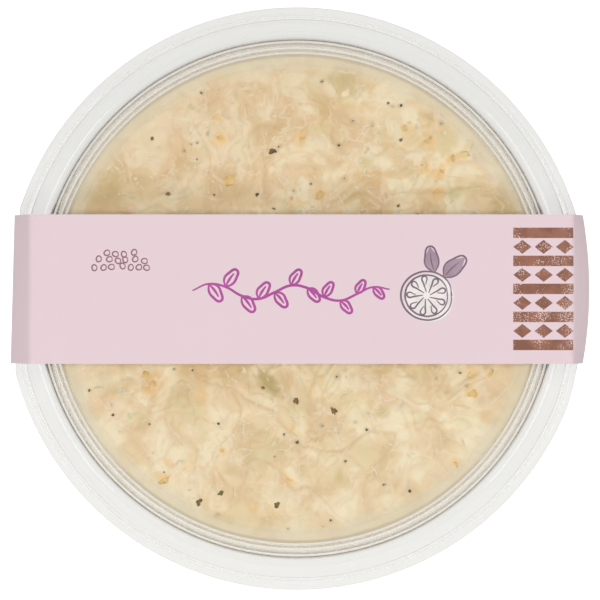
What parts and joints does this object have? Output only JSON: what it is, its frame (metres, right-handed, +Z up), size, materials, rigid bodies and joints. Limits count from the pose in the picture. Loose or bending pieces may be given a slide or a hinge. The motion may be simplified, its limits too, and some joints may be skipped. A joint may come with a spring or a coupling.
{
  "type": "baba ganoush in a lidded tub",
  "caption": "Shut round clear tub filled with pale aubergine dip, with a clear lid pressed over its rim, sunk in the middle, and a pink paperboard sleeve round lid and base.",
  "frame": {"origin": "under the middle of the round tub, on the underside of the sleeve's bottom panel, which is the surface that the tub stands on", "axes": "+Z up through the lid, X along the sleeve, Y across it"},
  "size_m": [0.1172, 0.118, 0.0332],
  "materials": {
    "clear_plastic": "clear, thin and glossy, neutral in colour",
    "aubergine_dip": "moist cream-beige puree with pale fibres, orange bits and dark specks",
    "pink_board": null
  },
  "bodies": {
    "root": {"tub": "clear_plastic", "lid": "clear_plastic", "dip": "aubergine_dip", "sleeve": "pink_board"}
  },
  "joints": []
}
